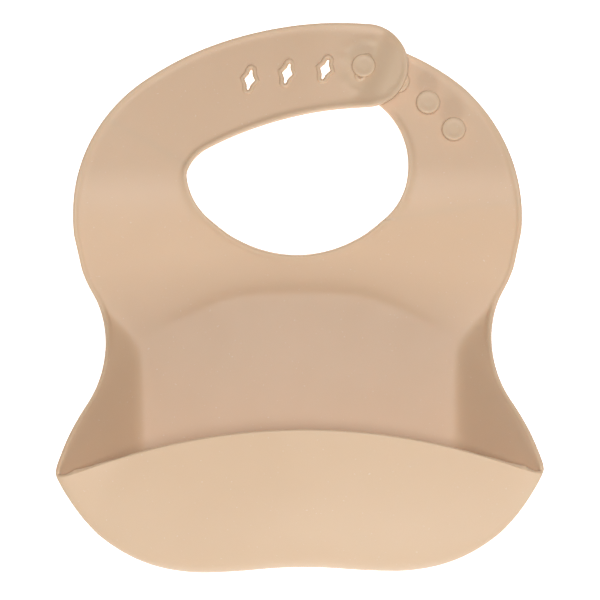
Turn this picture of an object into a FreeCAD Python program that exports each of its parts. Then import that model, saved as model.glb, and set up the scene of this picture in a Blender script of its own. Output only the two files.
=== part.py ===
import FreeCAD, Part
import Sketcher
import math
import os

# Silicone bib with a catching pocket, lying on its back, pocket open upwards.
# Frame: +Z up from the table, +Y from the pocket to the neck straps, X across.
# The moulding is one soft sheet, kept here as one node for each region that the
# living hinges and creases divide it into, plus the four mushroom studs.

document = FreeCAD.newDocument("silicone_bib")
sizes = document.addObject("Spreadsheet::Sheet", "sizes")


class Size:
    """A number together with the spreadsheet expression that gives it."""

    def __init__(self, value, text):
        self.value = value
        self.text = text

    @staticmethod
    def of(other):
        if isinstance(other, Size):
            return other
        return Size(float(other), repr(float(other)))

    def join(self, sign, other, value):
        return Size(value, "(" + self.text + " " + sign + " " + other.text + ")")

    def __add__(self, other):
        other = Size.of(other)
        return self.join("+", other, self.value + other.value)

    def __sub__(self, other):
        other = Size.of(other)
        return self.join("-", other, self.value - other.value)

    def __mul__(self, other):
        other = Size.of(other)
        return self.join("*", other, self.value * other.value)

    def __truediv__(self, other):
        other = Size.of(other)
        return self.join("/", other, self.value / other.value)

    def __neg__(self):
        return Size(-self.value, "(-1 * " + self.text + ")")

    def __radd__(self, other):
        return Size.of(other) + self

    def __rsub__(self, other):
        return Size.of(other) - self

    def __rmul__(self, other):
        return Size.of(other) * self


def trig(name, angle):
    """Sine, cosine or tangent of an angle that the sheet holds in degrees."""
    value = getattr(math, name)(math.radians(angle.value))
    return Size(value, name + "(" + angle.text + " * 1 deg)")


rows = [0]


def cell(alias, value, note):
    """Write one driving dimension into the sheet and return it as a Size."""
    rows[0] += 1
    place = "A" + str(rows[0])
    sizes.set(place, str(value))
    sizes.setAlias(place, alias)
    sizes.set("B" + str(rows[0]), note)
    return Size(float(value), "sizes." + alias)


# Sheet thickness and working clearances
wall = cell("wall", 1.8, "thickness of the moulded sheet")
gap = cell("gap", 0.3, "air between soft pieces that lie on each other")
# Pocket
floor_half = cell("floor_half", 74, "half width of the flat back wall")
corner_radius = cell("corner_radius", 35, "corner of the back wall at the bottom")
corner_y = cell("corner_y", -85, "height line where the bottom corners begin")
notch_depth = cell("notch_depth", 33.2, "from that line down to the middle of the bottom edge")
crease_y = cell("crease_y", -22, "where the side creases turn outwards to the waist")
flare_slope = cell("flare_slope", 0.78, "sideways run of that crease for each step up")
side_draft = cell("side_draft", 43, "lean of the side walls from upright")
rim_height = cell("rim_height", 43, "height of the pocket rim at its middle")
rim_y = cell("rim_y", -58, "middle of the pocket rim")
rim_sag = cell("rim_sag", 17.5, "how far the rim falls back at its ends")
bottom_lip = cell("bottom_lip", 7.15, "how far the rounded bottom stands past the back wall")
fold_height = cell("fold_height", 7, "height where the bottom begins to round over")
mouth_half = cell("mouth_half", 109.5, "half width over the pocket corners")
bead_width = cell("bead_width", 2.6, "width of the bead along the rim")
bead_extra = cell("bead_extra", 0.7, "how much thicker the bead is than the sheet")
# Chest and waist
waist_half = cell("waist_half", 88.5, "half width at the waist")
waist_y = cell("waist_y", -17.5, "height line of the waist")
shoulder_half = cell("shoulder_half", 102.5, "half width at the shoulders")
shoulder_y = cell("shoulder_y", 40, "height line of the widest shoulders")
ramp_start = cell("ramp_start", -26, "where the chest begins to rise off the table")
fold_y = cell("fold_y", 9, "fold line between pocket and chest")
ridge_y = cell("ridge_y", 62, "where the neck ring begins to fall back to the table")
ridge_rise = cell("ridge_rise", 11.4, "underside of the sheet at that line")
ring_tilt = cell("ring_tilt", 9.9, "slope of the neck ring towards the table")
arch_top = cell("arch_top", 6, "top of the recessed arch of the back wall")
arch_side = cell("arch_side", -24, "height line where that arch ends at the creases")
recess_lean = cell("recess_lean", 60, "lean of the edge of the recess")
# Neck and straps
neck_half = cell("neck_half", 50.5, "half width of the neck opening")
neck_y = cell("neck_y", 58, "height line of its widest place")
neck_bottom = cell("neck_bottom", 20.7, "lowest point of the neck opening")
strap_top = cell("strap_top", 126.5, "outer edge of the closed neck ring")
tip_radius = cell("tip_radius", 19.2, "round end of the button strap")
tip_x = cell("tip_x", 30, "middle of that round end")
strap_fold_x = cell("strap_fold_x", -40, "line where the button strap bends up")
end_radius = cell("end_radius", 12.6, "round end of the stud strap")
lap_start = cell("lap_start", -12, "where the button strap begins to rise over the stud strap")
lap_end = cell("lap_end", 13, "where it lies above the stud strap")
tip_lift_start = cell("tip_lift_start", 34, "where the round end begins to lift")
tip_lift_end = cell("tip_lift_end", 42.6, "where it has cleared the second stud")
# Studs and buttonholes
stud_ring = cell("stud_ring", 85.5, "radius of the arc that the studs stand on")
stud_ring_x = cell("stud_ring_x", 3.4, "middle of that arc, across")
stud_ring_y = cell("stud_ring_y", 25, "middle of that arc, up")
stud_start = cell("stud_start", 71.3, "direction of the first stud from there")
stud_step = cell("stud_step", 11.4, "angle from one stud to the next")
stud_count = 4
head_radius = cell("head_radius", 5.4, "radius of a stud's head")
head_height = cell("head_height", 1.3, "thickness of a stud's head")
stem_radius = cell("stem_radius", 1.9, "radius of a stud's stem")
head_gap = cell("head_gap", 0.3, "air between the button strap and the head that holds it")
hole_pitch = cell("hole_pitch", 17.5, "distance from one buttonhole to the next")
hole_bend = cell("hole_bend", 280, "radius of the row of buttonholes")
hole_turn = cell("hole_turn", 15, "turn of each buttonhole")
hole_half = cell("hole_half", 2.1, "half width of a buttonhole's lozenge")
slit_half = cell("slit_half", 0.35, "half width of its slits")
hole_reach = cell("hole_reach", 6, "from its middle to the end of a slit")
lozenge_reach = cell("lozenge_reach", 3.2, "from its middle to where the slits begin")
lip_width = cell("lip_width", 1.7, "width of the raised lip round a buttonhole")
lip_height = cell("lip_height", 0.5, "height of that lip above the strap")
hole_count = 4
document.recompute()

tall = 70.0
zero = Size.of(0)
sheet_planes = {
    "XY": FreeCAD.Rotation(),
    "YZ": FreeCAD.Rotation(FreeCAD.Vector(1, 1, 1), 120),
    "XZ": FreeCAD.Rotation(FreeCAD.Vector(1, 0, 0), 90),
}


def put(thing, x=zero, y=zero, z=zero):
    """Bind where a piece stands to the sheet."""
    for axis, size in (("x", x), ("y", y), ("z", z)):
        thing.setExpression("Placement.Base." + axis, Size.of(size).text)
    return thing


def tie(sketch, geometry, end, x, y):
    """Hold one point of a sketch at a place that the sheet gives."""
    for kind, size in (("DistanceX", x), ("DistanceY", y)):
        size = Size.of(size)
        number = sketch.addConstraint(Sketcher.Constraint(kind, -1, 1, geometry, end, size.value))
        name = kind + str(geometry) + "_" + str(end)
        sketch.renameConstraint(number, name)
        sketch.setExpression("Constraints." + name, size.text)


def draw(sketch, start, steps, closed=True):
    """Draw lines (x, y) and arcs (through x, through y, x, y) from start on."""
    here = start
    first = None
    last = None
    for step in steps:
        begin = FreeCAD.Vector(Size.of(here[0]).value, Size.of(here[1]).value, 0)
        there = step[-2:]
        finish = FreeCAD.Vector(Size.of(there[0]).value, Size.of(there[1]).value, 0)
        if len(step) == 2:
            edge = sketch.addGeometry(Part.LineSegment(begin, finish))
            ends = (1, 2)
        else:
            middle = FreeCAD.Vector(Size.of(step[0]).value, Size.of(step[1]).value, 0)
            edge = sketch.addGeometry(Part.Arc(begin, middle, finish))
            # the sketcher stores every arc anticlockwise, so its ends may be swapped
            swapped = (sketch.getPoint(edge, 1) - begin).Length > 0.001
            ends = (2, 1) if swapped else (1, 2)
            mark = sketch.addGeometry(Part.Point(middle), True)
            sketch.addConstraint(Sketcher.Constraint("PointOnObject", mark, 1, edge))
            tie(sketch, mark, 1, step[0], step[1])
        if last is None:
            first = (edge, ends[0])
            tie(sketch, edge, ends[0], here[0], here[1])
        else:
            sketch.addConstraint(Sketcher.Constraint("Coincident", last[0], last[1], edge, ends[0]))
        last = (edge, ends[1])
        here = there
        if closed and step is steps[-1]:
            sketch.addConstraint(Sketcher.Constraint("Coincident", last[0], last[1], first[0], first[1]))
        else:
            tie(sketch, edge, ends[1], there[0], there[1])
    return sketch


def outline(name, plane, start, steps, closed=True):
    """A sketch of its own on one of the three main planes."""
    sketch = document.addObject("Sketcher::SketchObject", name)
    sketch.Placement = FreeCAD.Placement(FreeCAD.Vector(0, 0, 0), sheet_planes[plane])
    return draw(sketch, start, steps, closed)


def extrude(name, base, ahead, back=0.0, taper=None):
    """Extrude a sketch along its normal, both ways if asked, leaning outwards by taper."""
    solid = document.addObject("Part::Extrusion", name)
    solid.Base = base
    solid.DirMode = "Normal"
    solid.Solid = True
    solid.setExpression("LengthFwd", Size.of(ahead).text)
    solid.setExpression("LengthRev", Size.of(back).text)
    if taper is not None:
        solid.setExpression("TaperAngle", taper.text)
    return solid


def inset(name, base, distance):
    """The same outline, set in by a distance."""
    offset = document.addObject("Part::Offset2D", name)
    offset.Source = base
    offset.setExpression("Value", (-distance).text)
    return offset


def common(name, *parts):
    shared = document.addObject("Part::MultiCommon", name)
    shared.Shapes = list(parts)
    return shared


def cut(name, base, tool):
    left = document.addObject("Part::Cut", name)
    left.Base = base
    left.Tool = tool
    return left


def fuse(name, *parts):
    whole = document.addObject("Part::MultiFuse", name)
    whole.Shapes = list(parts)
    return whole


def block(name, low, high):
    """Box between two corners, each corner three sizes."""
    box = document.addObject("Part::Box", name)
    for side, a, b in zip(("Length", "Width", "Height"), low, high):
        box.setExpression(side, (Size.of(b) - Size.of(a)).text)
    return put(box, *low)


# The plan of the back wall: straight sides, round bottom corners, a shallow
# notch between two lobes, and sides that flare out to the waist and beyond.
corner_x = floor_half - corner_radius
notch_radius = (corner_x * corner_x + notch_depth * notch_depth - corner_radius * corner_radius) / (
    2 * (corner_radius - notch_depth))
lobe_share = corner_radius / (corner_radius + notch_radius)
lobe_x = corner_x - lobe_share * corner_x
lobe_y = corner_y - lobe_share * (notch_depth + notch_radius)
corner_sin = Size(math.sin(math.radians(45)), "sin(45 deg)")
flare_top = Size.of(90)
flare_x = floor_half + flare_slope * (flare_top - crease_y)


def floor_outline(name, height):
    shape = outline(name, "XY", (lobe_x, lobe_y), [
        (corner_x + corner_radius * corner_sin, corner_y - corner_radius * corner_sin, floor_half, corner_y),
        (floor_half, crease_y),
        (flare_x, flare_top),
        (-flare_x, flare_top),
        (-floor_half, crease_y),
        (-floor_half, corner_y),
        (-corner_x - corner_radius * corner_sin, corner_y - corner_radius * corner_sin, -lobe_x, lobe_y),
        (zero, corner_y - notch_depth, lobe_x, lobe_y),
    ])
    return put(shape, z=height)


# Outside and inside of the tray that the leaning walls bound
tray_lift = wall / trig("sin", side_draft)
tray_outside = extrude("tray_outside", floor_outline("floor_plan", zero), tall, taper=side_draft)
tray_walls = extrude("tray_walls", floor_outline("inner_plan", tray_lift), tall, taper=side_draft)
floor_inset = inset("floor_inset", floor_outline("floor_level", wall), wall * 0.55)
tray_floor = extrude("tray_floor", floor_inset, tray_lift)
tray_inside = fuse("tray_inside", tray_walls, tray_floor)

# Side view, the same all the way across: table, chest ramp and neck ridge below,
# rounded bottom and bulging front wall in front
bottom_y = corner_y - notch_depth - bottom_lip - 1.6
ridge_back = ridge_y + 18
ring_fall = trig("tan", ring_tilt)
side_view = outline("side_view", "YZ", (ramp_start, zero), [
    (bottom_y, zero),
    (bottom_y, fold_height),
    (bottom_y + 2.7, fold_height + 5.3, bottom_y + 8.3, fold_height + 10.3),
    ((bottom_y + rim_y) / 2 + 1, fold_height + (rim_height - fold_height) * 0.7, rim_y, rim_height),
    (rim_y + 28, rim_height + 8),
    (rim_y + 28, tall + 20),
    (ridge_back, tall + 20),
    (ridge_back, ridge_rise - ring_fall * 18),
    (ridge_y, ridge_rise),
    (ridge_y - 15, ridge_rise + 0.9, ridge_y - 30, ridge_rise - 2.2),
    (ramp_start + 32, ridge_rise * 0.255, ramp_start, zero),
])
across = 2 * mouth_half
side_outside = extrude("side_outside", side_view, across, across)
side_inside = extrude("side_inside", inset("side_inner_view", side_view, wall), across, across)

# The back wall is let into the chest ramp, with an arch for its upper edge

def arch_outline(name, height):
    arch_half = floor_half + 3
    shape = outline(name, "XY", (-arch_half, arch_side), [
        (-arch_half, arch_side - 30),
        (arch_half, arch_side - 30),
        (arch_half, arch_side),
        (zero, arch_top, -arch_half, arch_side),
    ])
    return put(shape, z=height)


recess_outside = extrude("recess_outside", arch_outline("arch_plan", zero), 9, taper=recess_lean)
recess_inside = extrude("recess_inside", arch_outline("inner_arch_plan", wall), 9, taper=recess_lean)

lower_outside = common("lower_outside", fuse("open_outside", side_outside, recess_outside), tray_outside)
lower_inside = common("lower_inside", fuse("open_inside", side_inside, recess_inside), tray_inside)
moulding = cut("moulding", lower_outside, lower_inside)

# Plan of the whole moulding without the button strap: pocket corner, waist,
# shoulder, stud strap with its round end, neck opening, and the other arm
mouth_y = rim_y - 17
rim_end_x = mouth_half - 13.5
hip_x = mouth_half - 12.5
hip_y = mouth_y + 27.7
waist_top_y = waist_y + 20.5
waist_top_x = waist_half + 5.5
neck_low_y = (neck_y + neck_bottom) / 2 - 3.3
tip_y = strap_top - tip_radius
first_x = stud_ring_x + stud_ring * trig("cos", stud_start)
first_y = stud_ring_y + stud_ring * trig("sin", stud_start)
plan = outline("plan", "XY", (mouth_half + 25, Size.of(-160)), [
    (mouth_half + 25, mouth_y),
    (mouth_half, mouth_y),
    (mouth_half - 6.1, mouth_y + 16, hip_x, hip_y),
    (waist_half, waist_y, waist_top_x, waist_top_y),
    (shoulder_half - 1.5, shoulder_y - 18, shoulder_half, shoulder_y),
    (shoulder_half - 9, shoulder_y + 34, shoulder_half - 26.5, shoulder_y + 56.8),
    (shoulder_half - 45.5, shoulder_y + 69.4, first_x + 5.2, first_y + 11.5),
    (first_x - end_radius, first_y, first_x - 1, first_y - end_radius),
    (neck_half - 5.5, neck_y + 22.5, neck_half, neck_y),
    (neck_half - 3, neck_y - 11.2, neck_half - 12, neck_low_y),
    (neck_half * 0.42, neck_bottom + 4.3, zero, neck_bottom),
    (neck_half * -0.42, neck_bottom + 4.3, 12 - neck_half, neck_low_y),
    (3 - neck_half, neck_y - 11.2, -neck_half, neck_y),
    (3.7 - neck_half, neck_y + 6.8, strap_fold_x, neck_y + 11.8),
    (strap_fold_x, strap_top - 9.1),
    (strap_fold_x - 14.5, strap_top - 15.5, 34.5 - shoulder_half, shoulder_y + 63),
    (10.5 - shoulder_half, shoulder_y + 39, -shoulder_half, shoulder_y),
    (1.5 - shoulder_half, shoulder_y - 18, -waist_top_x, waist_top_y),
    (-waist_half, waist_y, -hip_x, hip_y),
    (6.1 - mouth_half, mouth_y + 16, -mouth_half, mouth_y),
    (-mouth_half - 25, mouth_y),
    (-mouth_half - 25, Size.of(-160)),
    (mouth_half + 25, Size.of(-160)),
])
plan_prism = extrude("plan_prism", plan, tall, 10)


def mouth_prism(name, ahead, bottom):
    """Everything behind the rim line, or behind a line that much further ahead of it."""
    shape = outline(name + "_plan", "XY", (-mouth_half, mouth_y - ahead), [
        (-mouth_half + 5, mouth_y - 1.6 - ahead, -rim_end_x, mouth_y - ahead),
        (zero, rim_y - ahead, rim_end_x, mouth_y - ahead),
        (mouth_half - 5, mouth_y - 1.6 - ahead, mouth_half, mouth_y - ahead),
        (mouth_half, fold_y),
        (-mouth_half, fold_y),
        (-mouth_half, mouth_y - ahead),
    ])
    return extrude(name, put(shape, z=bottom), tall)


# Behind the rim everything above the tray is open: the pocket's mouth
mouth_opening = common("mouth_opening", mouth_prism("mouth_room", zero, rim_height / 2), tray_walls)

far = mouth_half + 30
pocket_region = block("pocket_region", (-far, Size.of(-170), Size.of(-5)), (far, fold_y, Size.of(60)))
chest_region = block("chest_region", (-far, fold_y, Size.of(-5)), (far, ridge_y, Size.of(60)))
pocket_whole = common("pocket_whole", moulding, plan_prism, pocket_region)
pocket_shell = cut("pocket_shell", pocket_whole, mouth_opening)

# The pocket falls into its walls along the creases
front_region = block("front_region", (-far, Size.of(-170), fold_height), (far, rim_y + 20, Size.of(60)))
front_band = cut("front_band", side_outside, side_inside)
front_sheet = common("front_sheet", pocket_shell, front_band, front_region)
tray_shell = cut("tray_shell", pocket_shell, front_sheet)
bead_inside = extrude("bead_inside", inset("bead_view", side_view, wall + bead_extra), across, across)
bead_band = cut("bead_band", side_inside, bead_inside)
bead_room = mouth_prism("bead_room", bead_width, fold_height)
bead_strip = cut("bead_strip", bead_room, mouth_prism("rim_room", zero, zero))
rim_bead = common("rim_bead", bead_band, bead_strip, lower_inside, plan_prism)
front_wall = fuse("front_wall", front_sheet, rim_bead)
back_prism = extrude("back_prism", floor_outline("back_plan", zero), fold_height)
back_wall = common("back_wall", tray_shell, back_prism)
leaning_walls = cut("leaning_walls", tray_shell, back_wall)
low = Size.of(-170)
base_region = block("base_region", (-corner_x, low, zero), (corner_x, fold_y, Size.of(60)))
right_region = block("right_region", (corner_x, low, zero), (far, fold_y, Size.of(60)))
left_region = block("left_region", (-far, low, zero), (-corner_x, fold_y, Size.of(60)))
pocket_base = common("pocket_base", leaning_walls, base_region)
side_wall_right = common("side_wall_right", leaning_walls, right_region)
side_wall_left = common("side_wall_left", leaning_walls, left_region)
chest_panel = common("chest_panel", moulding, plan_prism, chest_region)

# The neck ring and the straps lie in one plane that falls to the table
ring = FreeCAD.Placement(
    FreeCAD.Vector(0, ridge_y.value, ridge_rise.value),
    FreeCAD.Rotation(FreeCAD.Vector(1, 0, 0), -ring_tilt.value))


def lay_on_ring(thing, x=0.0, along=0.0, above=0.0, turn=0.0):
    """Stand a piece on the plane of the ring, measured from the ridge line."""
    local = FreeCAD.Placement(
        FreeCAD.Vector(x, along, above), FreeCAD.Rotation(FreeCAD.Vector(0, 0, 1), turn))
    thing.Placement = ring.multiply(local).multiply(thing.Placement)
    return thing


ring_slab = document.addObject("Part::Box", "ring_slab")
for side, size in (("Length", far * 2), ("Width", Size.of(100)), ("Height", wall)):
    ring_slab.setExpression(side, size.text)
lay_on_ring(ring_slab, -far.value, -10.0)
arm_region = block("arm_region", (-far, ridge_y, Size.of(-5)), (strap_fold_x, strap_top + 5, Size.of(60)))
stud_region = block("stud_region", (zero, ridge_y, Size.of(-5)), (far, strap_top + 5, Size.of(60)))
shoulder_arm = common("shoulder_arm", ring_slab, plan_prism, arm_region)
stud_strap = common("stud_strap", ring_slab, plan_prism, stud_region)


def bend(run, rise):
    """Height of an arc that leaves level and climbs half of a rise, at half its run."""
    radius = (run.value ** 2 + rise.value ** 2) / (2 * rise.value)
    value = radius - math.sqrt(radius ** 2 - run.value ** 2 / 4)
    half_way = "((pow(" + run.text + "; 2) + pow(" + rise.text + "; 2)) / (2 * " + rise.text + "))"
    text = "(" + half_way + " - sqrt(pow(" + half_way + "; 2) - pow(" + run.text + "; 2) / 4))"
    return Size(value, text)


# Button strap: leaves the arm flush, steps up over the stud strap, and lifts at
# its round end to pass over the head of the second stud
stem_height = wall + gap + head_gap
lap = wall + gap
lift = stem_height + head_height + wall + gap - lap
lap_run = (lap_end - lap_start) / 2
lift_run = (tip_lift_end - tip_lift_start) / 2
lap_bend = bend(lap_run, lap / 2)
lift_bend = bend(lift_run, lift / 2)


def strap_sheet(name, thickness):
    """The button strap's bent sheet, wider than the strap, from its underside up."""
    middle = thickness / 2
    lapped = middle + lap
    lifted = lapped + lift
    side = outline(name + "_side", "XZ", (strap_fold_x - 5, middle), [
        (lap_start, middle),
        (lap_start + lap_run / 2, middle + lap_bend, lap_start + lap_run, middle + lap / 2),
        (lap_end - lap_run / 2, lapped - lap_bend, lap_end, lapped),
        (tip_lift_start, lapped),
        (tip_lift_start + lift_run / 2, lapped + lift_bend, tip_lift_start + lift_run, lapped + lift / 2),
        (tip_lift_end - lift_run / 2, lifted - lift_bend, tip_lift_end, lifted),
        (tip_x + tip_radius + 5, lifted),
    ], closed=False)
    band = document.addObject("Part::Offset2D", name + "_band")
    band.Source = side
    band.Fill = True
    band.setExpression("Value", middle.text)
    lay_on_ring(side)
    return extrude(name, band, 90, 90)


strap_plan = outline("strap_plan", "XY", (strap_fold_x, neck_y + 11.8), [
    (lap_start, neck_y + 22.9, tip_x, tip_y - tip_radius),
    (tip_x + tip_radius, tip_y, tip_x, strap_top),
    (Size.of(-6), strap_top - 1.1, strap_fold_x, strap_top - 9.1),
    (strap_fold_x, neck_y + 11.8),
])
strap_prism = extrude("strap_prism", strap_plan, tall, 10)
strap_blank = common("strap_blank", strap_sheet("strap_slab", wall), strap_prism)


# Buttonholes: a small lozenge with a slit at each end and a raised lip round it, on a
# slightly bent row; the last is stretched round, and its lip pressed flat, by the stud
# that is in it
hole_tools = []
lip_tools = []
first_along = (first_y.value - ridge_y.value) / math.cos(math.radians(ring_tilt.value))
for number in range(hole_count):
    angle = number * hole_pitch.value / hole_bend.value
    x = first_x.value - hole_bend.value * math.sin(angle)
    along = first_along - hole_bend.value * (1 - math.cos(angle))
    turn = math.degrees(angle) - hole_turn.value
    hole = outline("buttonhole_plan_" + str(number + 1), "XY", (slit_half, hole_reach), [
        (slit_half * 2, lozenge_reach),
        (hole_half, zero),
        (slit_half * 2, -lozenge_reach),
        (slit_half, -hole_reach),
        (-slit_half, -hole_reach),
        (-slit_half * 2, -lozenge_reach),
        (-hole_half, zero),
        (-slit_half * 2, lozenge_reach),
        (-slit_half, hole_reach),
        (slit_half, hole_reach),
    ])
    lay_on_ring(hole, x, along, 0.0, turn)
    hole_tools.append(extrude("buttonhole_" + str(number + 1), hole, 20, 20))
    if number > 0:
        end_half = slit_half + lip_width
        side_half = hole_half + lip_width
        lip = outline("lip_plan_" + str(number + 1), "XY", (end_half, hole_reach), [
            (side_half, zero, end_half, -hole_reach),
            (zero, -hole_reach - lip_width, -end_half, -hole_reach),
            (-side_half, zero, -end_half, hole_reach),
            (zero, hole_reach + lip_width, end_half, hole_reach),
        ])
        lay_on_ring(lip, x, along, 0.0, turn)
        lip_tools.append(extrude("lip_block_" + str(number + 1), lip, 20))
lips = common("lips", strap_sheet("lip_slab", wall + lip_height), fuse("lip_blocks", *lip_tools))
stretched = document.addObject("Part::Cylinder", "stretched_hole")
stretched.setExpression("Radius", (stem_radius + gap).text)
stretched.Height = 20
lay_on_ring(stretched, first_x.value, first_along, -5.0)
strap_with_lips = fuse("strap_with_lips", strap_blank, lips)
button_strap = cut("button_strap", strap_with_lips, fuse("buttonholes", stretched, *hole_tools))


def stud(number):
    """One mushroom stud: a waisted stem under a thin head with a rounded rim."""
    body = document.addObject("PartDesign::Body", "stud_" + str(number))
    sketch = body.newObject("Sketcher::SketchObject", "stud_profile_" + str(number))
    plane = [item for item in body.Origin.OriginFeatures if item.Role == "XZ_Plane"][0]
    sketch.AttachmentSupport = [(plane, "")]
    sketch.MapMode = "FlatFace"
    top = stem_height + head_height
    rim = head_height * 0.3
    draw(sketch, (zero, zero), [
        (stem_radius + rim, zero),
        (stem_radius, rim),
        (stem_radius, stem_height),
        (head_radius - rim, stem_height),
        (head_radius, stem_height + rim),
        (head_radius, top - rim * 1.5),
        (head_radius - rim * 0.6, top - rim * 0.6),
        (head_radius - rim * 2, top),
        (zero, top),
        (zero, zero),
    ])
    document.recompute()
    turned = body.newObject("PartDesign::Revolution", "stud_turned_" + str(number))
    turned.Profile = sketch
    turned.ReferenceAxis = (sketch, ["V_Axis"])
    turned.Angle = 360
    body.Tip = turned
    angle = math.radians(stud_start.value - (number - 1) * stud_step.value)
    x = stud_ring_x.value + stud_ring.value * math.cos(angle)
    y = stud_ring_y.value + stud_ring.value * math.sin(angle)
    along = (y - ridge_y.value) / math.cos(math.radians(ring_tilt.value))
    return lay_on_ring(body, x, along, wall.value)


studs = [stud(number + 1) for number in range(stud_count)]

pieces = [
    back_wall, front_wall, side_wall_left, side_wall_right, pocket_base,
    chest_panel, shoulder_arm, button_strap, stud_strap,
] + studs
document.recompute()
for thing in document.Objects:
    if "Invalid" in thing.State or "Error" in thing.State:
        raise RuntimeError(thing.Label + " could not be made: " + str(thing.State))
for piece in pieces:
    if piece.Shape.isNull() or not piece.Shape.isValid():
        raise RuntimeError(piece.Label + " has no sound shape")
os.makedirs("parts", exist_ok=True)
for piece in pieces:
    piece.Shape.exportStep("parts/" + piece.Label + ".step")
    print(piece.Label, "has", round(piece.Shape.Volume), "cubic millimetres")
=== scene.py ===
import math

import bmesh
import bpy
import numpy as np
from mathutils import Matrix, Vector
from mathutils.kdtree import KDTree


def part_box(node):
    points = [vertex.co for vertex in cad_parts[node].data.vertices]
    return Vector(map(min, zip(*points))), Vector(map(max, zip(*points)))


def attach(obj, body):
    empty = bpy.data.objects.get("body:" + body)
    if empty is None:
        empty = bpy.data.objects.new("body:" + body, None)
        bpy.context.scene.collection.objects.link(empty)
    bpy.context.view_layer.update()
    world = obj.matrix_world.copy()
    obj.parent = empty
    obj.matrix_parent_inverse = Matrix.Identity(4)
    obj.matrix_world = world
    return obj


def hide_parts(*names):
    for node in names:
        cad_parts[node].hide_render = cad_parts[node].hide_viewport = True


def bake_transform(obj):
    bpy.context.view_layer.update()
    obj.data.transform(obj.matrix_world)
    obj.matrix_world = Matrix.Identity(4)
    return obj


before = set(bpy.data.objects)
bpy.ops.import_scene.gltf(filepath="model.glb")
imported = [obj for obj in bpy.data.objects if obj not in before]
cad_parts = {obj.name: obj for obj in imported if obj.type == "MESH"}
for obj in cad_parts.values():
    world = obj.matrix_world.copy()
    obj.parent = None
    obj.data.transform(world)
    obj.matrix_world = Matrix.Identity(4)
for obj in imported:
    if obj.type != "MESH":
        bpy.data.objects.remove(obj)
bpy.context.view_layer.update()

# ---------------------------------------------------------------------------
# The moulding. Pocket, chest and both neck arms are one silicone sheet, pressed
# in one mould, 1.8 mm thick with a rounded bead along its edges. It is laid out
# in grids that run from edge to edge, and then given its thickness.

MM = 0.001
sheet_wall, bead_wall, pocket_bead = 1.8, 3.2, 2.0
bead_full, bead_end = 2.1, 2.6
# the flat back wall, its rounded bottom corners and its lower edge
floor_half, floor_flare, flare_y, flare_soft = 74.0, 0.78, -22, 3.0
corner_x, corner_y, corner_r = 39.0, -85.0, 35.0
notch_y, notch_curve = -118.2, 777
side_slope = 1 / math.tan(math.radians(43))
arch_y, arch_r, arch_slope = -107.8, 113.8, 0.577
arch_soft, crease_soft, crease_settle = 0.5, 2.2, 0.25
# the front wall, from its lowest point to the rim and out to the pocket's corners
nose_y, nose_z = -126.95, 7.0
front_round, front_rise, front_droop = 2.656, 0.3313, 0.001871
dent_deep, dent_half, dent_y, dent_long = 2.6, 24, -88, 36
mouth_half, mouth_y, rim_y = 111.6, -79.5, -58.0
rim_half, rim_dip, rim_span, low_line = 100.5, 17.3, 96, -65.0
# the chest from the side, and the line where the arms start
ramp_y, ramp_bend, ramp_end = -26, 0.00283, 32
chest_start, chest_full = 2, 13
ridge_y, ridge_z = 62.0, 11.4
ring_tilt = math.radians(9.9)
yoke_y = 31.0


def smooth(value, start, finish):
    """0 before start, 1 after finish, and a soft rise between them."""
    share = np.clip((value - start) / (finish - start), 0, 1)
    return share * share * (3 - 2 * share)


def soft_max(a, b, width):
    """The larger of two heights, with a rounded crease of that width."""
    return (a + b + np.sqrt((a - b) ** 2 + width ** 2)) / 2


def soft_min(a, b, width):
    """The smaller of two heights, with a rounded crease."""
    return -soft_max(-a, -b, width)


def front_height(x, y):
    """The front wall, bulging up from a rounded bottom that is drawn in at its middle."""
    dent = dent_deep * np.exp(-(x / dent_half) ** 2) * np.clip((dent_y - y) / dent_long, 0, 1)
    reach = np.maximum(y - dent - nose_y, 0.0)
    return nose_z + front_round * np.sqrt(reach) + front_rise * reach - front_droop * reach ** 2


def outside_floor(x, y):
    """How far a place lies outside the flat back wall; negative within it."""
    x = np.abs(x)
    straight = x - floor_half
    flared = (x - floor_half - floor_flare * (y - flare_y)) / math.hypot(1, floor_flare)
    side = soft_min(straight, flared, flare_soft)
    corner = np.hypot(np.maximum(x - corner_x, 0), np.minimum(y - corner_y, 0)) - corner_r
    bottom = notch_y - x ** 2 / notch_curve - y
    below = np.where(x > corner_x, corner, bottom)
    return np.where(y > corner_y, side, below)


def chest_rise(y):
    """The chest from the side: up a ramp, over a ridge and down along the neck ring."""
    ramp = ramp_bend * np.maximum(y - ramp_y, 0) ** 2
    run = ridge_y - ramp_end
    share = np.clip((y - ramp_end) / run, 0, 1)
    start_z = ramp_bend * (ramp_end - ramp_y) ** 2
    start_slope = 2 * ramp_bend * (ramp_end - ramp_y)
    over = ((2 * share ** 3 - 3 * share ** 2 + 1) * start_z
            + (share ** 3 - 2 * share ** 2 + share) * start_slope * run
            + (3 * share ** 2 - 2 * share ** 3) * ridge_z
            - (share ** 3 - share ** 2) * math.tan(ring_tilt) * run)
    down = ridge_z - math.tan(ring_tilt) * (y - ridge_y)
    return np.where(y < ramp_end, ramp, np.where(y < ridge_y, over, down))


def back_height(x, y):
    """Underside of the back wall with its arched recess, the side walls and the chest."""
    recess = arch_slope * np.maximum(np.hypot(x, y - arch_y) - arch_r, 0)
    low = soft_min(chest_rise(y), recess, arch_soft)
    tray = outside_floor(x, y) * side_slope
    soft = np.maximum(soft_max(low, tray, crease_soft) - crease_settle, 0)
    return float(soft + (chest_rise(y) - soft) * smooth(y, chest_start, chest_full))


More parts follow.
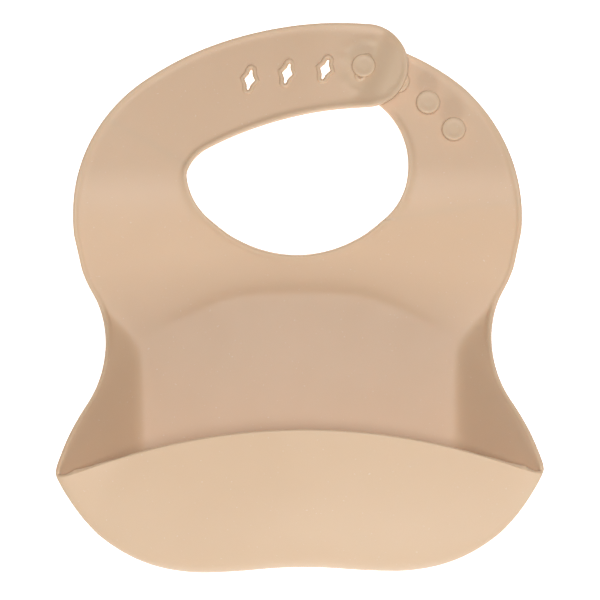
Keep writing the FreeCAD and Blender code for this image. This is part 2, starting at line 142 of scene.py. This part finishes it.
def arc(start, through, finish, count=30):
    """Places on the arc through three places, the first left out."""
    (ax, ay), (bx, by), (cx, cy) = start, through, finish
    d = 2 * (ax * (by - cy) + bx * (cy - ay) + cx * (ay - by))
    a2, b2, c2 = ax * ax + ay * ay, bx * bx + by * by, cx * cx + cy * cy
    ux = (a2 * (by - cy) + b2 * (cy - ay) + c2 * (ay - by)) / d
    uy = (a2 * (cx - bx) + b2 * (ax - cx) + c2 * (bx - ax)) / d
    radius = math.hypot(ax - ux, ay - uy)
    first, mid, last = (math.atan2(py - uy, px - ux) for px, py in (start, through, finish))
    turn = (last - first) % (2 * math.pi)
    if (mid - first) % (2 * math.pi) > turn:
        turn -= 2 * math.pi
    angles = [first + turn * share for share in np.linspace(0, 1, count + 1)[1:]]
    return [(ux + radius * math.cos(angle), uy + radius * math.sin(angle)) for angle in angles]


def path(start, *arcs):
    """A run of arcs, each given by a place on it and its end."""
    points = [start]
    for through, finish in arcs:
        points += arc(points[-1], through, finish)
    return np.array(points)


def along(points, share):
    """The place at a share of the length of a run of points."""
    lengths = np.concatenate([[0], np.cumsum(np.hypot(*np.diff(points, axis=0).T))])
    lengths /= lengths[-1]
    return np.array([np.interp(share, lengths, points[:, 0]), np.interp(share, lengths, points[:, 1])])


def spacing(start, finish, count, fine_start=False, fine_finish=False, first=1.2):
    """Places from start to finish, closer together where an end carries a bead."""
    rows = [0, first * 0.8, first * 1.7, first * 2.2, first * 3.4]
    places = list(np.linspace(start, finish, count + 1))
    if fine_start:
        places = [start + r for r in rows] + [p for p in places if p > start + first * 5]
    if fine_finish:
        places = [p for p in places if p < finish - first * 5] + [finish - r for r in reversed(rows)]
    return places


# the outer edge from the pocket's corner over the waist to the widest shoulder
flank = path((109.3, -73), ((103.6, -59), (97, -47.3)), ((88.5, -17.5), (94, 3)), ((101, 22), (102.5, 40)))
# the neck's edge from the middle of the chest to the arms
neck = path((0, 20.7), ((21.2, 25), (38.5, 36)), ((47.5, 46.8), (50.5, 58)))


def half_width(y):
    """Half the bib's width at a height of its outer edge."""
    return float(np.interp(y, flank[:, 1], flank[:, 0]))


neck_x = float(np.interp(yoke_y, neck[:, 1], neck[:, 0]))
split, shoulder_x = 0.34, 102
across_half = (spacing(0, neck_x, 11, fine_finish=True)[:-1] + spacing(neck_x, shoulder_x, 20, True, True))
across_half = [x / neck_x * split if x < neck_x
               else split + (1 - split) * (x - neck_x) / (shoulder_x - neck_x)
               for x in across_half]
columns = [-c for c in reversed(across_half)] + across_half[1:]


def rim_place(x):
    """The pocket's rim in plan: an arch that dips before its corners."""
    return rim_y - rim_dip * (x / rim_span) ** 2


# how far the rounded keel stands out, all round and at the pocket's corners
keel_out, corner_out, corner_turn = 1.2, 2.2, 0.5
farthest = 60.0


def keel_reach(x, y, step_x, step_y):
    """How far out from the back wall the leaning wall climbs to the front wall."""
    low, high = 0.0, farthest
    for _ in range(30):
        reach = (low + high) / 2
        height = float(front_height(x + step_x * reach, y + step_y * reach))
        low, high = (reach, high) if height > reach * side_slope else (low, reach)
    return low + keel_out


def keel_line(count=90):
    """The pocket's outline in plan, where the leaning walls meet the front wall."""
    points = [(mouth_half, mouth_y)]
    for angle in np.linspace(0, math.pi / 2, count):
        ahead, down = math.cos(angle), -math.sin(angle)
        x, y = corner_x + corner_r * ahead, corner_y + corner_r * down
        reach = keel_reach(x, y, ahead, down) + corner_out * max(1 - angle / corner_turn, 0)
        points.append((x + ahead * reach, y + down * reach))
    for x in np.linspace(corner_x, 0, 30)[1:]:
        y = notch_y - x ** 2 / notch_curve
        points.append((x, y - keel_reach(x, y, 0, -1)))
    return np.array(points)


keel = keel_line()
corner_fault = back_height(mouth_half, mouth_y) - float(front_height(mouth_half, mouth_y))
corner_ease, corner_blend = 0.2, 6


def keel_place(column):
    """A place on the outline; column runs from -1 at one corner to 1 at the other."""
    x, y = along(keel, 1 - abs(column))
    return np.array([math.copysign(x, column), y])


def wall_height(x, y, column):
    """The front wall, eased at the corners to meet the side walls."""
    return float(front_height(x, y)) + corner_fault * max(1 - (1 - abs(column)) / corner_ease, 0)


def bare_front(row, column):
    """From the keel (row 0) up the front wall to the rim (row 1)."""
    start = keel_place(column)
    finish = np.array([rim_half * column, rim_place(rim_half * column)])
    x, y = start + (finish - start) * row
    return np.array([x, y, wall_height(x, y, column)])


def bare_low(row, column):
    """From the keel (row 0) in over the side and back walls to a line across them (row 1)."""
    start = keel_place(column)
    finish = np.array([half_width(low_line) * column, low_line])
    x, y = start + (finish - start) * row
    fault = wall_height(*start, column) - back_height(*start)
    return np.array([x, y, back_height(x, y) + fault * (1 - row) ** corner_blend])


keel_bend, bend_share = 7.5, 0.95


def round_keel(row, column, own, other):
    """The sheet turns round its keel in a soft bend, not a crease."""
    knee = own(0, column)
    length = np.linalg.norm(own(1, column) - knee)
    other_length = np.linalg.norm(other(1, column) - knee)
    bend = min(keel_bend, bend_share * length, bend_share * other_length)
    if row * length >= bend:
        return own(row, column)
    near, far = own(bend / length, column), other(bend / other_length, column)
    t = 0.5 + 0.5 * row * length / bend
    return far * (1 - t) ** 2 + knee * 2 * t * (1 - t) + near * t ** 2


chest_y = 15


def body_place(row, column):
    """Up the back wall to the foot of the chest."""
    y = low_line + (chest_y - low_line) * row
    x = half_width(y) * column
    return x, y, back_height(x, y)


def yoke_place(row, column):
    """From there to the foot of the arms, and to the neck's edge between them."""
    if abs(column) >= split:
        share = (abs(column) - split) / (1 - split)
        x, y = neck_x + (half_width(yoke_y) - neck_x) * share, yoke_y
    else:
        x = neck_x * abs(column) / split
        y = float(np.interp(x, neck[:, 0], neck[:, 1]))
    start = np.array(body_place(1, column)[:2])
    x, y = start + (np.array([math.copysign(x, column), y]) - start) * row
    return x, y, float(chest_rise(y))


sheet = bmesh.new()


def lay_grid(rows, across, place, part=0):
    """A grid whose lines stand where place(row share, column share) says."""
    before = len(sheet.verts)
    bmesh.ops.create_grid(sheet, x_segments=len(across) - 1, y_segments=len(rows) - 1, size=1)
    sheet.verts.ensure_lookup_table()
    for vert in sheet.verts[before:]:
        column = round((vert.co.x + 1) / 2 * (len(across) - 1))
        row = round((vert.co.y + 1) / 2 * (len(rows) - 1))
        vert.co = Vector(place(rows[row], across[column])) * MM
        for face in vert.link_faces:
            face.material_index = part


# lines crowd towards the keel, and again towards the beaded rim
front_long, front_crowd, low_crowd = 60, 1.3, 1.4
front_rows = [(s / front_long) ** front_crowd
              for s in spacing(0, front_long, 24, fine_finish=True, first=0.9)]
low_rows = [(s / 20) ** low_crowd for s in range(21)]
lay_grid(front_rows, columns, lambda row, column: round_keel(row, column, bare_front, bare_low))
lay_grid(low_rows, columns, lambda row, column: round_keel(row, column, bare_low, bare_front))
lay_grid([s / 34 for s in range(35)], columns, body_place)
lay_grid([s / 8 for s in spacing(0, 8, 6, fine_finish=True, first=0.8)], columns, yoke_place)


lap_rise, lap_start, lap_end = 2.3, -14, 15
stud_x, stud_y = 30.8, 106.0
stud_rise, rise_start, rise_end = 3.2, 1, 13.5
rise_ahead, rise_across = 0.911, 0.412


def strap_height(x, y):
    """The button strap rides up over the stud strap and lifts over the second stud."""
    past_stud = (x - stud_x) * rise_ahead - (y - stud_y) * rise_across
    lap = lap_rise * smooth(x, lap_start, lap_end)
    return float(chest_rise(y) + lap + stud_rise * smooth(past_stud, rise_start, rise_end))


def arm(side, inner, outer, height, seam_row, part):
    """An arm between its inner and outer edge, with a round end."""
    across = [(c - split) / (1 - split) for c in columns if c >= split - 0.0001]
    inner_run = path(tuple(neck[-1] * (side, 1)), *inner)
    inner_run = np.vstack([(neck * (side, 1))[neck[:, 1] > yoke_y], inner_run[1:]])
    inner_run = np.vstack([[side * neck_x, yoke_y], inner_run])
    outer_run = path(tuple(flank[-1] * (side, 1)), *outer)
    outer_run = np.vstack([(flank * (side, 1))[flank[:, 1] > yoke_y], outer_run[1:]])
    outer_run = np.vstack([[side * half_width(yoke_y), yoke_y], outer_run])

    def straight(row, column):
        x, y = along(inner_run, row) * (1 - column) + along(outer_run, row) * column
        return x, y, height(x, y)

    first, last = inner_run[-1], outer_run[-1]
    middle, half = (first + last) / 2, (last - first) / 2
    ahead = -side * np.array([half[1], -half[0]])

    def rounded(row, column):
        v = 2 * column - 1
        x, y = middle + half * v * math.sqrt(1 - row * row / 2) + ahead * row * math.sqrt(1 - v * v / 2)
        return x, y, height(x, y)

    steps = [step / 60 for step in range(61)]
    lay_grid(steps[:seam_row + 1], across, straight)
    lay_grid(steps[seam_row:], across, straight, part)
    lay_grid([s / 18 for s in spacing(0, 18, 10, fine_finish=True)], across, rounded, part)


strap_inner = [((-46.8, 64.6), (-40, 69.8)), ((-12, 80.9), (32, 87.6))]
strap_outer = [((-91.0, 79), (-66.8, 102.7)), ((-53, 110.6), (-38, 117.0)), ((-4, 125.3), (32, 126.2))]
short_inner = [((45.0, 80.5), (29.6, 93.6))]
short_outer = [((93.5, 74), (76, 96.8)), ((57, 109.4), (36, 117.7))]
button_part, stud_part = 1, 2
arm(-1, strap_inner, strap_outer, strap_height, 18, button_part)
arm(1, short_inner, short_outer, lambda x, y: float(chest_rise(y)), 7, stud_part)
weld = 0.03 * MM
bmesh.ops.remove_doubles(sheet, verts=sheet.verts, dist=weld)
bmesh.ops.recalc_face_normals(sheet, faces=sheet.faces)


def relax(verts):
    """Ease vertices halfway towards the middle of their neighbours."""
    bmesh.ops.smooth_vert(sheet, verts=verts, factor=0.5, use_axis_x=True, use_axis_y=True, use_axis_z=True)


# the bend is eased all along, and the turn of the edge at the pocket's corners more
turn_x = 92
bend_verts = [v for v in sheet.verts if v.co.y < low_line * MM and not v.is_boundary]
for _ in range(3):
    relax(bend_verts)
turn_verts = [v for v in sheet.verts
              if v.is_boundary and abs(v.co.x) > turn_x * MM and v.co.y < low_line * MM]
near_turn = [v for v in bend_verts if abs(v.co.x) > turn_x * MM]
for _ in range(12):
    moves = []
    for vert in turn_verts:
        ends = [e.other_vert(vert).co for e in vert.link_edges if e.is_boundary]
        moves.append((vert, vert.co.lerp((ends[0] + ends[1]) / 2, 0.5)))
    for vert, place in moves:
        vert.co = place
    relax(near_turn)

# the grids hold the outside, so the middle of the sheet lies half a wall inwards
sheet.normal_update()
chest_normal = sum((f.normal.z for f in sheet.faces if f.calc_center_median().y > 0))
inward = 1 if chest_normal > 0 else -1
for vert, step in [(v, v.normal * inward * sheet_wall / 2 * MM) for v in sheet.verts]:
    vert.co += step
# the bead is thinner on the pocket than round the neck and the shoulders
bead_low_y, bead_high_y = -30, 10
covered_x, open_x = 43, 48
rims = [v.co.copy() for v in sheet.verts if v.is_boundary]
tree = KDTree(len(rims))
for number, point in enumerate(rims):
    tree.insert(point, number)
tree.balance()
thickness = []
for vert in sheet.verts:
    upper = float(smooth(vert.co.y / MM, bead_low_y, bead_high_y))
    edge_wall = pocket_bead + (bead_wall - pocket_bead) * upper
    share = 1 - float(smooth(tree.find(vert.co)[2] / MM, bead_full, bead_end))
    if any(face.material_index == stud_part for face in vert.link_faces):
        # the covered end lies pressed flat under the other strap
        share *= float(smooth(vert.co.x / MM, covered_x, open_x))
    thickness.append(sheet_wall + (edge_wall - sheet_wall) * share)
moulding = bpy.data.meshes.new("moulding")
sheet.to_mesh(moulding)
sheet.free()
body = bpy.data.objects.new("moulding", moulding)
bpy.context.scene.collection.objects.link(body)
bead = body.vertex_groups.new(name="bead")
for number, size in enumerate(thickness):
    bead.add([number], size / bead_wall, "REPLACE")
wall = body.modifiers.new("wall", "SOLIDIFY")
wall.thickness = bead_wall * MM
wall.offset = 0
wall.vertex_group = "bead"
soften = body.modifiers.new("soften", "SUBSURF")
soften.levels = 1
soften.render_levels = 1
for _ in range(3):
    moulding.materials.append(None)
final = bpy.data.meshes.new_from_object(body.evaluated_get(bpy.context.evaluated_depsgraph_get()))
bpy.data.objects.remove(body)


class Wire:
    """A shader socket that takes part in sums, so shader maths reads as maths."""

    def __init__(self, finish, socket):
        self.finish = finish
        self.socket = socket

    def math(self, operation, *terms):
        return self.finish.add("ShaderNodeMath", {"operation": operation}, terms)

    def __add__(self, other):
        return self.math("ADD", self, other)

    def __mul__(self, other):
        return self.math("MULTIPLY", self, other)

    __radd__ = __add__
    __rmul__ = __mul__

    def between(self, low, high):
        """0 below low, 1 above high, and a soft step between them."""
        settings = {"interpolation_type": "SMOOTHSTEP", "clamp": True}
        values = {"Value": self, "From Min": low, "From Max": high}
        return self.finish.add("ShaderNodeMapRange", settings, values)


class Finish:
    """A material under construction: its shader, and one way to add any other node."""

    def __init__(self, name):
        self.material = bpy.data.materials.new(name)
        self.material.use_nodes = True
        self.tree = self.material.node_tree
        self.shader = self.tree.nodes["Principled BSDF"]

    def feed(self, socket, value):
        if isinstance(value, Wire):
            self.tree.links.new(value.socket, socket)
        else:
            socket.default_value = value

    def add(self, kind, settings=None, values=(), output=0):
        node = self.tree.nodes.new(kind)
        for name, value in (settings or {}).items():
            setattr(node, name, value)
        pairs = values.items() if isinstance(values, dict) else enumerate(values)
        for key, value in pairs:
            self.feed(node.inputs[key], value)
        return Wire(self, node.outputs[output])

    def noise(self, scale, detail, roughness=0.5):
        place = self.add("ShaderNodeTexCoord", output=3)
        values = {"Vector": place, "Scale": scale, "Detail": detail, "Roughness": roughness}
        return self.add("ShaderNodeTexNoise", None, values)

    def blend(self, factor, first, second):
        return self.add("ShaderNodeMix", {"data_type": "RGBA"}, {0: factor, 6: first, 7: second}, output=2)

    def bump(self, height, strength, distance, under=None):
        values = {"Height": height, "Strength": strength, "Distance": distance}
        if under is not None:
            values["Normal"] = under
        return self.add("ShaderNodeBump", None, values)

    def set(self, **values):
        for name, value in values.items():
            self.feed(self.shader.inputs[name.replace("_", " ")], value)


def silicone(name, body_tone, warm_tone, lint_tone, lint):
    """Matt silicone: cloudy in tone, finely grained, with a few specks of lint."""
    finish = Finish(name)
    cloud = finish.noise(9.0, 3.0).between(0.38, 0.64)
    mottle = finish.noise(55.0, 4.0, 0.6)
    skin = finish.noise(420.0, 3.0, 0.6)
    grain = finish.noise(2600.0, 2.0, 0.7)
    speck = finish.noise(900.0, 2.0, 0.4).between(0.73, 0.76)
    tone = finish.blend(cloud * 0.65 + mottle * 0.2, body_tone, warm_tone)
    fine = finish.bump(skin, 0.10, 0.00012)
    finish.set(
        Base_Color=finish.blend(speck * lint, tone, lint_tone),
        Roughness=0.42 + 0.10 * mottle + 0.06 * skin + 0.2 * speck,
        Normal=finish.bump(grain, 0.12, 0.00005, fine),
        IOR=1.41,
        Subsurface_Weight=0.12,
        Subsurface_Radius=(0.004, 0.0024, 0.0014),
        Subsurface_Scale=1.0,
        Sheen_Weight=0.06,
        Sheen_Roughness=0.55,
        Specular_IOR_Level=0.42,
    )
    return finish.material


sand_tone, warm_sand = (0.665, 0.457, 0.283, 1.0), (0.70, 0.492, 0.313, 1.0)
pale_lint, lint_strength = (0.86, 0.80, 0.72, 1.0), 0.3
sand = silicone("sand_silicone", sand_tone, warm_sand, pale_lint, lint_strength)


def finish_piece(name, mesh):
    """Make a new object of a finished mesh, in the record's one material slot."""
    mesh.materials.clear()
    mesh.materials.append(sand)
    piece = bpy.data.objects.new(name, mesh)
    bpy.context.scene.collection.objects.link(piece)
    return piece


def region(name, part):
    """One body's share of the moulding, cut along a grid line and closed there."""
    shell = bmesh.new()
    shell.from_mesh(final)
    others = [f for f in shell.faces if f.material_index != part]
    bmesh.ops.delete(shell, geom=others, context="FACES")
    seams = [e for e in shell.edges if e.is_boundary]
    bmesh.ops.holes_fill(shell, edges=seams, sides=0)
    for face in shell.faces:
        face.smooth = True
        face.material_index = 0
    for edge in seams:
        edge.smooth = False
    mesh = bpy.data.meshes.new(name)
    shell.to_mesh(mesh)
    shell.free()
    return mesh


bib = finish_piece("bib_body", region("bib_body", 0))
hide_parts("back_wall", "front_wall", "side_wall_left", "side_wall_right", "pocket_base",
            "chest_panel", "shoulder_arm")
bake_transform(bib)

# ---------------------------------------------------------------------------
# The button strap: the long arm's end, with a row of four buttonholes. Each is
# a small diamond with a slot at both ends, moulded in the silicone with a raised
# lip round it. The first one holds a stud, so it stays closed round its stem.

hole_reach, hole_half, slot_half = 4.9, 2.5, 0.75
diamond_long, slot_power = 2.7, 5
lip_wide, lip_up, lip_swell = 1.15, 0.4, 0.25
hole_pitch, hole_bend, hole_lean = 17.5, 280.0, math.radians(21)
cut_deep = 6


def hole_outline(grow=0.0, count=48):
    """A diamond with round slots, grown outwards by a lip."""
    points = []
    for step in range(count):
        angle = 2 * math.pi * step / count
        run = (hole_reach + grow) * math.sin(angle)
        slot = (slot_half + grow) * math.sqrt(max(1 - abs(math.sin(angle)) ** slot_power, 0))
        bulge = (hole_half - slot_half) * max(1 - abs(run) / diamond_long, 0)
        points.append((math.copysign(slot + bulge, math.cos(angle)), run))
    return points


def hole_matrix(number):
    """Where a buttonhole stands on the strap: on a slightly bent row, leaning over."""
    angle = number * hole_pitch / hole_bend
    x = stud_x - hole_bend * math.sin(angle)
    y = stud_y - hole_bend * (1 - math.cos(angle))
    base = Vector((x, y, strap_height(x, y) + sheet_wall / 2)) * MM
    lean = Matrix.Rotation(angle - hole_lean, 4, "Z")
    return Matrix.Translation(base) @ Matrix.Rotation(-ring_tilt, 4, "X") @ lean


def as_object(name, shape):
    """A new object of a bmesh, which is used up."""
    mesh = bpy.data.meshes.new(name)
    shape.to_mesh(mesh)
    shape.free()
    thing = bpy.data.objects.new(name, mesh)
    bpy.context.scene.collection.objects.link(thing)
    return thing


lips, cutters = bmesh.new(), bmesh.new()
for number in range(4):
    place = hole_matrix(number)
    ring = bpy.data.curves.new("lip", "CURVE")
    ring.dimensions = "3D"
    line = ring.splines.new("POLY")
    outline = hole_outline(lip_wide)
    line.points.add(len(outline) - 1)
    for point, (x, y) in zip(line.points, outline):
        point.co = (x * MM, y * MM, lip_up * MM, 1)
    line.use_cyclic_u = True
    ring.bevel_depth = (sheet_wall / 2 + lip_swell) * MM
    ring.bevel_resolution = 4
    holder = bpy.data.objects.new("lip", ring)
    bpy.context.scene.collection.objects.link(holder)
    tube = bpy.data.meshes.new_from_object(holder.evaluated_get(bpy.context.evaluated_depsgraph_get()))
    bpy.data.objects.remove(holder)
    tube.transform(place)
    lips.from_mesh(tube)
    if number == 0:
        continue
    rim = [cutters.verts.new(place @ Vector((x * MM, y * MM, -cut_deep * MM))) for x, y in hole_outline()]
    face = cutters.faces.new(rim)
    raised = bmesh.ops.extrude_face_region(cutters, geom=[face])["geom"]
    tops = [v for v in raised if isinstance(v, bmesh.types.BMVert)]
    bmesh.ops.translate(cutters, verts=tops, vec=place.to_3x3() @ Vector((0, 0, 2 * cut_deep * MM)))
bmesh.ops.recalc_face_normals(lips, faces=lips.faces)
bmesh.ops.recalc_face_normals(cutters, faces=cutters.faces)
lip_tool = as_object("lip_tool", lips)
hole_tool = as_object("hole_tool", cutters)
blank = bpy.data.objects.new("blank", region("blank", button_part))
bpy.context.scene.collection.objects.link(blank)
for tool, operation in ((lip_tool, "UNION"), (hole_tool, "DIFFERENCE")):
    step = blank.modifiers.new(operation, "BOOLEAN")
    step.operation = operation
    step.object = tool
    step.solver = "EXACT"
crisp_angle = math.radians(38)
strap_mesh = bpy.data.meshes.new_from_object(blank.evaluated_get(bpy.context.evaluated_depsgraph_get()))
for tool in (lip_tool, hole_tool, blank):
    bpy.data.objects.remove(tool)
shell = bmesh.new()
shell.from_mesh(strap_mesh)
for face in shell.faces:
    face.smooth = True
for edge in shell.edges:
    edge.smooth = edge.is_manifold and edge.calc_face_angle(0) < crisp_angle
shell.to_mesh(strap_mesh)
shell.free()
button_strap = finish_piece("button_strap_sheet", strap_mesh)
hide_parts("button_strap")
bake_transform(button_strap)

# ---------------------------------------------------------------------------
# The stud strap: the short arm, which carries the studs and lies under the button
# strap. It is the same silicone sheet as the bib, cut from the moulding at the
# line where the arm bends, and blended into the chest there.

stud_strap = finish_piece("stud_strap_sheet", region("stud_strap_sheet", stud_part))
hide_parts("stud_strap")
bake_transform(stud_strap)

# ---------------------------------------------------------------------------
# The studs: four mushroom heads on short waisted stems, solid silicone and moulded
# with the stud strap. The first one is drawn up through its buttonhole.

head_r, head_up, stem_r, stem_up = 5.4, 1.5, 1.9, 2.35
foot_r, sunk, waist_up, waist_out = 1.0, 0.6, 0.5, 0.6
dish_edge, dish_step, dish_deep, edge_up = 1.5, 0.6, 0.1, 0.02
drawn_up = 0.8


def stud_profile(lift):
    """Half section of a stud, from the foot of its stem to the middle of its head."""
    under, top = stem_up + lift, stem_up + lift + head_up
    foot = [(stem_r + foot_r - math.sin(a) * foot_r, foot_r - math.cos(a) * foot_r)
            for a in np.linspace(0, math.pi / 2, 6)]
    round_r = head_up / 2
    rim = [(head_r - round_r + math.sin(a) * round_r, under + round_r - math.cos(a) * round_r)
           for a in np.linspace(0, math.pi, 13)]
    dish = [(head_r - dish_edge, top + edge_up), (head_r - dish_edge - dish_step, top - dish_deep - edge_up),
            (head_r * 0.3, top - dish_deep), (0, top - dish_deep)]
    waist = [(stem_r, under - waist_up), (stem_r + waist_out, under)]
    return [(stem_r + foot_r, -sunk)] + foot + waist + rim + dish


for number in range(4):
    node = "stud_" + str(number + 1)
    low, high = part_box(node)
    x, y = (low[0] + high[0]) / 2 / MM, (low[1] + high[1]) / 2 / MM
    y -= math.sin(ring_tilt) * (sheet_wall + stem_up + head_up / 2)
    base = Vector((x, y, float(chest_rise(y)))) * MM
    turn = Matrix.Rotation(-ring_tilt, 4, "X")
    base += turn @ Vector((0, 0, sheet_wall * MM))
    lathe = bmesh.new()
    profile = stud_profile(drawn_up if number == 0 else 0.0)
    verts = [lathe.verts.new((r * MM, 0, z * MM)) for r, z in profile]
    edges = [lathe.edges.new(pair) for pair in zip(verts, verts[1:])]
    bmesh.ops.spin(lathe, geom=verts + edges, cent=(0, 0, 0), axis=(0, 0, 1), angle=2 * math.pi, steps=56,
                   use_merge=True)
    bmesh.ops.remove_doubles(lathe, verts=lathe.verts, dist=0.01 * MM)
    bmesh.ops.holes_fill(lathe, edges=[e for e in lathe.edges if e.is_boundary], sides=0)
    bmesh.ops.recalc_face_normals(lathe, faces=lathe.faces)
    for face in lathe.faces:
        face.smooth = True
    mesh = bpy.data.meshes.new(node)
    lathe.to_mesh(mesh)
    lathe.free()
    mesh.transform(Matrix.Translation(base) @ turn)
    stud = finish_piece("mushroom_stud_" + str(number + 1), mesh)
    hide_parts(node)
    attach(stud, "stud_strap")

# ---------------------------------------------------------------------------
# The studio: a sheet of white paper that glows a little, a large lamp overhead, a
# lower one from the pocket's side, and a camera that looks straight down.

floor_drop, paper_half = 0.0006, 4
sheet_of_paper = bmesh.new()
bmesh.ops.create_grid(sheet_of_paper, x_segments=1, y_segments=1, size=paper_half)
floor = as_object("floor", sheet_of_paper)
paper = Finish("white_paper")
paper.set(Base_Color=(0.95, 0.95, 0.95, 1), Roughness=0.9)
paper.set(Emission_Color=(1, 1, 1, 1), Emission_Strength=0.75)
floor.data.materials.append(paper.material)
floor.location.z = -floor_drop


def lamp(name, place, size, power):
    """A soft rectangular lamp that faces the bib."""
    light = bpy.data.lights.new(name, "AREA")
    light.shape = "RECTANGLE"
    light.size, light.size_y = size
    light.energy = power
    light.color = (0.96, 1.0, 1.07)
    holder = bpy.data.objects.new(name, light)
    holder.location = place
    holder.rotation_euler = (-Vector(place)).to_track_quat("-Z", "Y").to_euler()
    bpy.context.scene.collection.objects.link(holder)


lamp("overhead", (0.05, 0.1, 1.6), (0.6, 0.6), 20.5)
lamp("key", (0.15, -1.15, 0.65), (0.4, 0.3), 6.8)
world = bpy.data.worlds.new("studio")
world.use_nodes = True
background = world.node_tree.nodes["Background"]
background.inputs["Color"].default_value = (1, 1, 1, 1)
background.inputs["Strength"].default_value = 0.04
bpy.context.scene.world = world

eye_height, view_width, eye_x, eye_roll = 1.5, 0.276, 0.0008, -0.5
camera = bpy.data.cameras.new("camera")
camera.sensor_width = 36
camera.lens = camera.sensor_width * eye_height / view_width
eye = bpy.data.objects.new("camera", camera)
eye.location = (eye_x, 0, eye_height)
eye.rotation_euler = (0, 0, math.radians(eye_roll))
bpy.context.scene.collection.objects.link(eye)
bpy.context.scene.camera = eye
bpy.context.scene.view_settings.view_transform = "Standard"
